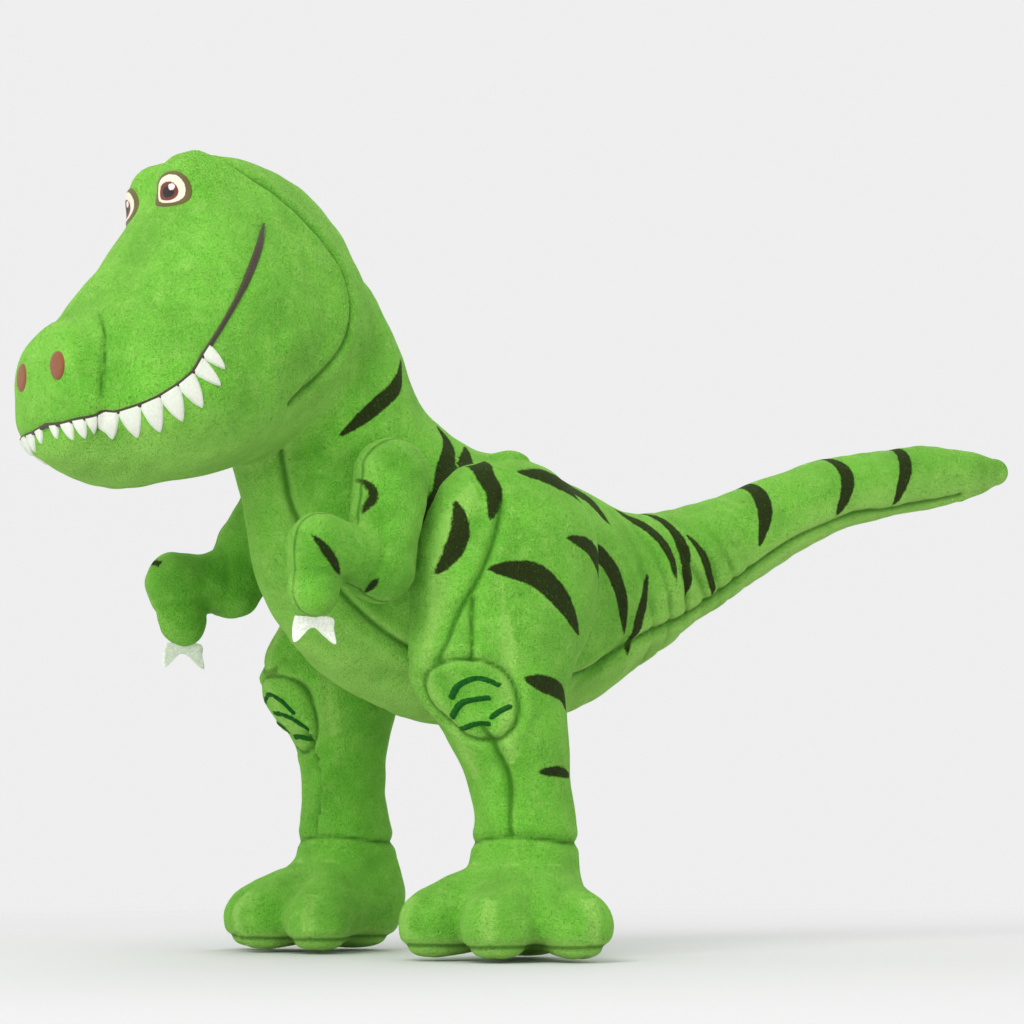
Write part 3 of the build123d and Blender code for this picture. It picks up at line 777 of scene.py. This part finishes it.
# Painted underglow: skin facing down under belly, tail and jaw is painted lighter, and skin along the belly
# seam paler.
belly = np.clip((-normal[:, 2] - 0.15) * 1.1, 0, 0.85) * body_part
under_tail = np.where(body_part & (verts[:, 1] > 90), np.clip(-normal[:, 2] * 1.2 + 0.25, 0, 0.8), 0)
jaw = np.where(~body_part, np.clip(-hn[:, 2] * 0.8 - 0.1, 0, 0.5), 0)
painted_underglow_and_seam_pale = np.maximum(np.maximum(belly, under_tail), jaw)
painted_underglow_and_seam_pale = np.maximum(painted_underglow_and_seam_pale, 0.55 * np.exp(-(seam / 3.5) ** 2) * (body_seam < 12))
rest = (verts + SHIFT) / 1000.0
values = dict(rest=rest, stripe=stripe, seam=seam, painted_underglow_and_seam_pale=painted_underglow_and_seam_pale, painted_crease_shade=painted_crease_shade, arc=np.full(len(verts), NOWHERE))

# The skin is cut into five pieces: across two leaning planes, one through throat and nape, one through the nod
# fold, and across the body at y = 20 and y = 152.
centre = verts[quads].mean(1)
above_throat = (centre - THROAT_AT) @ THROAT_AXIS
label = np.full(len(quads), 1)
label[centre[:, 1] > 20] = 3
label[centre[:, 1] > 152] = 4
label[(centre[:, 1] < 20) & (above_throat > -THROAT_REACH)] = 2
label[(centre[:, 1] < 20) & (above_throat > THROAT_REACH)] = 0
skins = {}
for k, name in enumerate(("head_skin", "chest_skin", "neck_skin", "hip_skin", "tail_skin")):
    skins[name] = build_mesh(name, verts, quads[label == k], normal, values, GREEN)


def row(p):
    return tuple((np.array(p, float) + SHIFT) / 1000.0)


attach(skins["head_skin"], "head")
near = THROAT_REACH - 1
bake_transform(skins["neck_skin"])
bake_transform(skins["chest_skin"])
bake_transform(skins["hip_skin"])
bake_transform(skins["tail_skin"])
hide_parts("face_panel_left", "face_panel_right", "back_of_head_panel_left",
            "back_of_head_panel_right", "jaw_panel", "head_stuffing")
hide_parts("neck_panel_left", "neck_panel_right", "neck_stuffing", "nape_panel_left",
            "nape_panel_right")
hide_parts("belly_panel", "torso_stuffing")
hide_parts("torso_panel_left", "torso_panel_right")
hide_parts(*[f"tail_{a}_{b}" for a in ("base", "end")
                                  for b in ("underside", "panel_left", "panel_right", "stuffing")])


# ------------------------------------------------------------------ legs and feet
def leg_centre(z, side):
    rows = LEG[side][::-1]
    return np.interp(z, [r[0] for r in rows], [r[2] for r in rows])


for side_name, sign in (("left", 1), ("right", -1)):
    fx, fy, yaw, factor = FOOT[side_name]
    cx = LEG[side_name][5][1]
    box_lo = (sign * 6 if sign > 0 else -128, -112, -3)
    box_hi = (140 if sign > 0 else -4, 76, 250)
    v, f, nrm = net(lambda p: leg_field(p, side_name), box_lo, box_hi)
    flat = v[:, 1:].copy()
    flat[:, 0] += leg_centre(v[:, 2], "left") - leg_centre(v[:, 2], side_name)
    outer = (v[:, 0] - cx) * sign > -6
    shown = LEG_STRIPES if sign > 0 else LEG_STRIPES[:2] + LEG_STRIPES[4:]
    stripe = np.where(outer, nearest(flat, shown), NOWHERE)
    stripe = np.where(flat[:, 1] > 60, stripe, NOWHERE)
    seam = np.where(outer, nearest(flat, LEG_SEAMS), NOWHERE)
    axis_x = np.interp(v[:, 2], [r[0] for r in LEG[side_name][::-1]], [r[1] for r in LEG[side_name][::-1]])
    behind = v[:, 1] - leg_centre(v[:, 2], side_name)
    facing = np.degrees(np.arctan2(v[:, 0] - axis_x, -behind))
    knee_u = np.radians(facing - KNEE_FACING[side_name]) * 31 * sign
    knee = np.stack([knee_u, v[:, 2] - KNEE_Z[side_name]], 1)
    rim = np.abs(np.linalg.norm(knee * np.array([0.95, 1.0]), axis=1) - KNEE_R)
    rim = np.where(np.abs(facing - KNEE_FACING[side_name]) < 90, rim, NOWHERE)
    arcs = np.minimum.reduce([stroke(knee, a) for a in KNEE_ARCS]) - 1.2
    arcs = np.where(np.abs(facing - KNEE_FACING[side_name]) < 70, arcs, NOWHERE)
    ankle = np.abs(v[:, 2] - 55 - 1.5 * np.sin(np.radians(facing * 2)))
    local = (v - np.array([fx, fy, 0])) @ spin("z", yaw)
    sole = np.where((v[:, 2] < 20), np.abs(v[:, 2] - 6.5), NOWHERE)
    toe_seam = np.full(len(v), NOWHERE)
    for turn in (-TOE_FAN, 0, TOE_FAN):
        t = math.radians(turn)
        across = local[:, 0] * math.cos(t) + local[:, 1] * math.sin(t)
        reach = local[:, 0] * math.sin(t) - local[:, 1] * math.cos(t)
        line = np.where((reach > 28) & (nrm[:, 2] < 0.75), np.abs(across), NOWHERE)
        toe_seam = np.minimum(toe_seam, line)
    seam_all = np.minimum.reduce([seam, rim, ankle, sole])
    move = groove(seam, 1.9, 1.8) + groove(rim, 1.9, 1.7) + groove(ankle, 1.4, 1.8) + groove(sole, 0.9, 1.5)
    move += 0.7 * np.clip(-arcs, 0, 1) + 0.45 * groove(toe_seam, 0.8, 1.2)
    lumps = 0.8 * bend_noise(v, 40.0, 7 + sign) + 0.35 * bend_noise(v, 15.0, 9 + sign)
    move += lumps * np.clip(v[:, 2] / 12, 0, 1)
    v = v + nrm * move[:, None]
    v[:, 2] = np.maximum(v[:, 2], 0.1)
    nrm = mesh_normals(v, f)
    # Paler along sole, toe seams and knee rim; painted underglow on skin facing down.
    painted_underglow_and_seam_pale = np.clip(0.7 * np.exp(-(np.minimum(sole, toe_seam) / 4.0) ** 2) + (nrm[:, 2] < -0.6) * 0.6, 0, 0.8)
    painted_underglow_and_seam_pale = np.maximum(painted_underglow_and_seam_pale, 0.35 * np.exp(-(rim / 3.0) ** 2))
    deep = torso_field(v[f].mean(1)) < -13
    # Painted crease shade where the skin is pulled in.
    values = dict(rest=(v + SHIFT) / 1000.0, stripe=stripe, seam=seam_all, painted_underglow_and_seam_pale=painted_underglow_and_seam_pale, arc=arcs,
                  painted_crease_shade=np.clip(-move / 2.2, 0, 1))
    leg = build_mesh(f"leg_skin_{side_name}", v, f[~deep], nrm, values, GREEN)
    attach(leg, f"leg_{side_name}")
    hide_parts(*[f"{n}_{side_name}" for n in (
        "knee_patch", "thigh_panel_outer", "thigh_panel_inner", "shin_panel_front", "shin_panel_back",
        "leg_stuffing", "foot_sole", "foot_upper", "pellet_pouch", "foot_stuffing")])

# ------------------------------------------------------------------ arms and claws
for side_name, sign in (("left", 1), ("right", -1)):
    pts = np.array(ARM[side_name], float)
    v, f, nrm = net(lambda p: arm_field(p, side_name), pts.min(0) - 24, pts.max(0) + 24, 1.3)
    shift = np.array(ARM["left"][1]) - np.array(ARM[side_name][1])
    flat = v[:, 1:] + shift[1:]
    outer = (v[:, 0] - np.interp(v[:, 2], [160, 230], [pts[3][0], pts[0][0]])) * sign > -2
    stripe = np.where(outer, nearest(flat, ARM_STRIPES), NOWHERE)
    seam = np.where(nrm[:, 1] < 0.2, np.abs(nrm[:, 0] - 0.25 * sign) * 16, NOWHERE)
    move = 0.4 * groove(np.minimum(seam, 9), 0.8, 1.6) - 0.7
    move += 0.6 * bend_noise(v, 30.0, 21 + sign) + 0.3 * bend_noise(v, 12.0, 23 + sign)
    for a, b, depth in ((1, 2, 1.2), (2, 3, 0.9)):
        bend_at = pts[a] * 0.35 + pts[b] * 0.65 if a == 2 else pts[1] * 0.7 + pts[2] * 0.3
        d = (v - bend_at) @ ((pts[b] - pts[a]) / np.linalg.norm(pts[b] - pts[a]))
        near = np.exp(-(np.linalg.norm(v - bend_at, axis=1) / 24) ** 2)
        move -= depth * near * np.exp(-(d / 2.0) ** 2)
    v = v + nrm * move[:, None]
    nrm = mesh_normals(v, f)
    painted_underglow_and_seam_pale = np.clip(0.35 * np.exp(-(seam / 5.0) ** 2), 0, 1)
    # Painted crease shade where the skin is pulled in; the arm's overall 0.7 mm pull-in darkens all of it a
    # little.
    values = dict(rest=(v + SHIFT) / 1000.0, stripe=stripe, seam=seam, painted_underglow_and_seam_pale=painted_underglow_and_seam_pale,
                  arc=np.full(len(v), NOWHERE),
                  painted_crease_shade=np.clip(-move / 2.2, 0, 1))
    arm = build_mesh(f"arm_skin_{side_name}", v, f, nrm, values, GREEN)
    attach(arm, f"arm_{side_name}")
    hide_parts(*[f"{n}_{side_name}" for n in ("arm_panel_outer", "arm_panel_inner", "arm_stuffing")])


# ------------------------------------------------------------------ pieces laid on the head
def lay(p, lift):
    """Points in the toy's frame set down on the head, each lift mm off its surface."""
    for turn in range(6):
        base, n, slope = gradient(head_field, p)
        p = p - n * np.clip((base - lift - swell(p)) / np.maximum(slope, 0.4), -6, 6)[:, None]
    return p


def patch(name, place, heights, faces, values, mat):
    """A raised piece of embroidery, laid on the head from points close to it."""
    top = lay(place, heights)
    values = dict(values, rest=(top + SHIFT) / 1000.0)
    ob = build_mesh(name, top, faces, mesh_normals(top, faces), values, mat)
    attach(ob, "head")
    return ob


def disc_grid(rings, spokes):
    r = np.linspace(0.02, 1, rings)
    a = np.linspace(0, 2 * math.pi, spokes, endpoint=False)
    u = (r[:, None] * np.cos(a)).ravel()
    v = (r[:, None] * np.sin(a)).ravel()
    faces = []
    for i in range(rings - 1):
        for j in range(spokes):
            k = (j + 1) % spokes
            faces.append((i * spokes + j, i * spokes + k, (i + 1) * spokes + k, (i + 1) * spokes + j))
    return u, v, np.array(faces)


def disc_on_head(name, at, radii, height, mat):
    u, v, faces = disc_grid(18, 64)
    middle = lay(from_head([at]), 0.0)[0]
    n = gradient(head_field, middle[None])[1][0]
    up = HEAD_R @ np.array([0.0, 0.0, 1.0])
    up = up - n * (up @ n)
    up /= np.linalg.norm(up)
    right = np.cross(up, n)
    place = middle + np.outer(u * radii[0], right) + np.outer(v * radii[1], up)
    radius = np.sqrt(u ** 2 + v ** 2)
    heights = height * (1 - radius ** 8) * (0.8 + 0.2 * (1 - radius ** 2)) - 0.25 * (radius > 0.99)
    flat = np.stack([u * radii[0], v * radii[1], 0 * u], 1)
    values = dict(flat=flat, thread=u * radii[0] * 0.8 + v * radii[1] * 0.6)
    toward = faces if np.cross(right, up) @ n > 0 else faces[:, ::-1]
    return patch(name, place, heights, toward, values, mat)


for side_name, sign in (("left", 1), ("right", -1)):
    flip = np.array([sign, 1, 1])
    eye = disc_on_head(f"eye_{side_name}_stitching", np.array(EYE_AT) * flip, EYE_R, 1.3, EYE_MAT)
    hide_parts(f"eye_{side_name}")
    nostril = disc_on_head(f"nostril_{side_name}_stitching", np.array(NOSTRIL_AT) * flip, NOSTRIL_R, 1.1,
                           NOSTRIL_MAT)
    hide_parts(f"nostril_{side_name}")

curve = catmull(MOUTH, 8)
curve = np.vstack([(curve * np.array([-1, 1, 1]))[:0:-1], curve])
run = np.concatenate([[0], np.cumsum(np.linalg.norm(np.diff(curve, axis=0), axis=1))])
steps = np.arange(0, run[-1], 0.8)
curve = np.stack([np.interp(steps, run, curve[:, k]) for k in range(3)], 1)
world = lay(from_head(curve), 0.0)
tangent = np.gradient(world, axis=0)
tangent /= np.linalg.norm(tangent, axis=1)[:, None]
out = gradient(head_field, world)[1]
cross = np.cross(out, tangent)
end = np.minimum(steps, steps[-1] - steps)
thick = 1.15 + 0.75 * np.exp(-((end - 26) / 20) ** 2)
thick *= np.clip(end / 10, 0.12, 1) ** 0.6
ROUND = np.linspace(-1, 1, 9)
place = (world[:, None] + cross[:, None] * (ROUND[None, :, None] * thick[:, None, None])).reshape(-1, 3)
heights = (1.15 * np.sqrt(np.clip(1 - ROUND ** 2, 0, 1))[None, :] * np.ones((len(world), 1)) - 0.2).ravel()
w = len(ROUND)
i, j = np.meshgrid(np.arange(len(world) - 1), np.arange(w - 1), indexing="ij")
base = (i * w + j).ravel()
faces = np.stack([base, base + w, base + w + 1, base + 1], 1)
if np.cross(tangent[5], cross[5]) @ out[5] < 0:
    faces = faces[:, ::-1]
thread = (steps[:, None] + ROUND[None, :] * 0.9).ravel()
line = patch("mouth_stitching", place, heights, faces, dict(thread=thread), MOUTH_MAT)
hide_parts("mouth_line")

for side_name, sign in (("left", 1), ("right", -1)):
    flip = np.array([sign, 1, 1])
    half = catmull(MOUTH, 8)
    run = np.concatenate([[0], np.cumsum(np.linalg.norm(np.diff(half, axis=0), axis=1))])
    all_place, all_height, all_thread, all_faces, count = [], [], [], [], 0
    for k, (at, long, wide) in enumerate(TEETH):
        root = np.array([np.interp(at, run, half[:, m]) for m in range(3)])
        ahead = np.array([np.interp(at + 2, run, half[:, m]) for m in range(3)])
        behind = np.array([np.interp(at - 2, run, half[:, m]) for m in range(3)])
        tan = (ahead - behind) / np.linalg.norm(ahead - behind)
        n = gradient(head_field, from_head([root]))[1][0] @ HEAD_R
        down = np.cross(tan, n)
        down = down if down[2] < 0 else -down
        down = down + 0.25 * tan * (0.6 if at < 30 else -0.5)
        down /= np.linalg.norm(down)
        rows_v = np.linspace(0, 1, 14)
        cols = np.linspace(-1, 1, 11)
        width = wide * np.clip(1 - rows_v ** 1.7, 0.02, 1) ** 0.8
        pts = root + down * (rows_v[:, None, None] * long)
        pts = pts + tan * (cols[None, :, None] * width[:, None, None])
        pts = from_head(pts.reshape(-1, 3) * flip)
        dome = np.clip(1 - cols[None, :] ** 6, 0, 1) * np.clip(1 - (rows_v[:, None]) ** 10, 0, 1)
        crown = 0.75 + 0.25 * (1 - cols[None, :] ** 2)
        h = (0.35 + 0.9 * dome * crown) + 0.02 * (k % 2) - 0.4 * (dome < 0.01)
        i, j = np.meshgrid(np.arange(13), np.arange(10), indexing="ij")
        base = (i * 11 + j).ravel() + count
        f = np.stack([base, base + 11, base + 12, base + 1], 1)
        all_faces.append(f)
        all_place.append(pts)
        all_height.append(h.ravel())
        all_thread.append((rows_v[:, None] * long * 0.95 + cols[None, :] * width[:, None] * 0.45).ravel())
        count += len(pts)
    place, heights = np.concatenate(all_place), np.concatenate(all_height)
    faces = np.concatenate(all_faces)
    a, b, c = (place[faces[0, m]] for m in (0, 1, 2))
    if np.cross(b - a, c - a) @ gradient(head_field, place[:1])[1][0] < 0:
        faces = faces[:, ::-1]
    teeth = patch(f"teeth_{side_name}_satin", place, heights, faces,
                  dict(thread=np.concatenate(all_thread)), TEETH_MAT)
    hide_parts(f"teeth_{side_name}")

# white felt claws: a thin two-pointed piece sewn into the end of each hand
for side_name, sign in (("left", 1), ("right", -1)):
    hx, hy, hz = ARM[side_name][3]
    tip = hz - ARM_R[2][1] + 1.5
    outline = [(-9, 0), (9, 0), (10.5, -6), (10.6, -12.5), (6, -9), (2.4, -5.6), (0, -5.0), (-2.6, -5.8),
               (-6.6, -9.4), (-10.4, -12.0), (-10.2, -6)]
    ring = catmull(outline + outline[:1], 5)[:-1]
    mid = ring.mean(0)
    verts_c, faces_c = [], []
    layers = [(-0.9, 0.96), (-0.55, 1.0), (0.55, 1.0), (0.9, 0.96)]
    for off, grow in layers:
        for a, b in ring:
            sway = 0.8 * math.sin(b * 0.3) + off
            verts_c.append((hx + sway + 0.12 * abs(b), hy + mid[0] + (a - mid[0]) * grow,
                            tip + mid[1] + (b - mid[1]) * grow))
    m = len(ring)
    for r in range(len(layers) - 1):
        for k in range(m):
            faces_c.append((r * m + k, r * m + (k + 1) % m, (r + 1) * m + (k + 1) % m, (r + 1) * m + k))
    mesh = bpy.data.meshes.new(f"claws_{side_name}_felt")
    place = (np.array(verts_c) + SHIFT) / 1000.0
    ends = [list(range(m))[::-1], list(range(3 * m, 4 * m))]
    mesh.from_pydata(place.tolist(), [], [list(f) for f in faces_c] + ends)
    att = mesh.attributes.new("rest", "FLOAT_VECTOR", "POINT")
    att.data.foreach_set("vector", place.astype(np.float32).ravel())
    mesh.materials.append(FELT)
    claws = bpy.data.objects.new(f"claws_{side_name}_felt", mesh)
    bpy.context.scene.collection.objects.link(claws)
    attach(claws, f"arm_{side_name}")
    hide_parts(f"claws_{side_name}")

# ------------------------------------------------------------------ floor, light and camera
floor_mesh = bpy.data.meshes.new("floor")
FLOOR_HALF, FLOOR_Z = 6, -0.0005          # metres, a hair under the soles
corner_signs = ((-1, -1), (1, -1), (1, 1), (-1, 1))
corners = [(x * FLOOR_HALF, y * FLOOR_HALF, FLOOR_Z) for x, y in corner_signs]
floor_mesh.from_pydata(corners, [], [(0, 1, 2, 3)])
floor = bpy.data.objects.new("floor", floor_mesh)
bpy.context.scene.collection.objects.link(floor)
FADE_FROM, FADE_TO = 0.34, 0.95           # metres from the middle, where floor turns to backdrop
fn = Nodes("floor_paper")
fn.bsdf.inputs["Base Color"].default_value = (0.64, 0.64, 0.64, 1)
fn.bsdf.inputs["Roughness"].default_value = 0.9
geo = fn.add("ShaderNodeNewGeometry")
far = fn.add("ShaderNodeVectorMath", operation="LENGTH")
fn.link(geo.outputs["Position"], far.inputs[0])
clear = fn.add("ShaderNodeBsdfTransparent")
fade = fn.add("ShaderNodeMixShader")
fn.link(fn.ramp(far.outputs["Value"], FADE_FROM, FADE_TO), fade.inputs[0])
fn.link(fn.bsdf.outputs[0], fade.inputs[1])
fn.link(clear.outputs[0], fade.inputs[2])
fn.link(fade.outputs[0], fn.out.inputs[0])
floor_mesh.materials.append(fn.mat)
floor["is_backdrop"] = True

world = bpy.data.worlds.new("studio")
bpy.context.scene.world = world
world.use_nodes = True
world.node_tree.nodes["Background"].inputs[0].default_value = (1, 1, 1, 1)
world.node_tree.nodes["Background"].inputs[1].default_value = 0.86


def area_light(name, place, aim, size, power):
    data = bpy.data.lights.new(name, "AREA")
    data.size = size
    data.energy = power
    ob = bpy.data.objects.new(name, data)
    bpy.context.scene.collection.objects.link(ob)
    ob.location = place
    ob.rotation_euler = (Vector(aim) - Vector(place)).to_track_quat("-Z", "Y").to_euler()


area_light("key", (0.9, -1.3, 1.7), (0, 0, 0.2), 1.1, 22)
area_light("fill", (1.8, 0.6, 0.9), (0, 0, 0.2), 1.8, 4)
area_light("low", (0.7, -1.5, 0.12), (0, 0, 0.2), 1.0, 9)
area_light("rim", (-1.2, 1.0, 1.4), (0, 0, 0.25), 1.2, 8)

CAMERA_AZ, CAMERA_EL, CAMERA_D = math.radians(60), math.radians(-6), 1.5   # from the front, metres
CAMERA_LENS = 104.6                       # mm on a 36 mm sensor
aim = np.array(row((0, 40, 219)))
away = np.array([math.sin(CAMERA_AZ) * math.cos(CAMERA_EL), -math.cos(CAMERA_AZ) * math.cos(CAMERA_EL),
                 math.sin(CAMERA_EL)])
cam_data = bpy.data.cameras.new("camera")
cam_data.lens = CAMERA_LENS
cam_data.sensor_width = 36
cam = bpy.data.objects.new("camera", cam_data)
bpy.context.scene.collection.objects.link(cam)
cam.location = Vector(aim + away * CAMERA_D)
cam.rotation_euler = Vector(-away).to_track_quat("-Z", "Y").to_euler()
bpy.context.scene.camera = cam
bpy.context.scene.view_settings.view_transform = "Standard"

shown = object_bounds()
{"cad": [list(c) for c in cad_box], "visual": [list(c) for c in shown]}
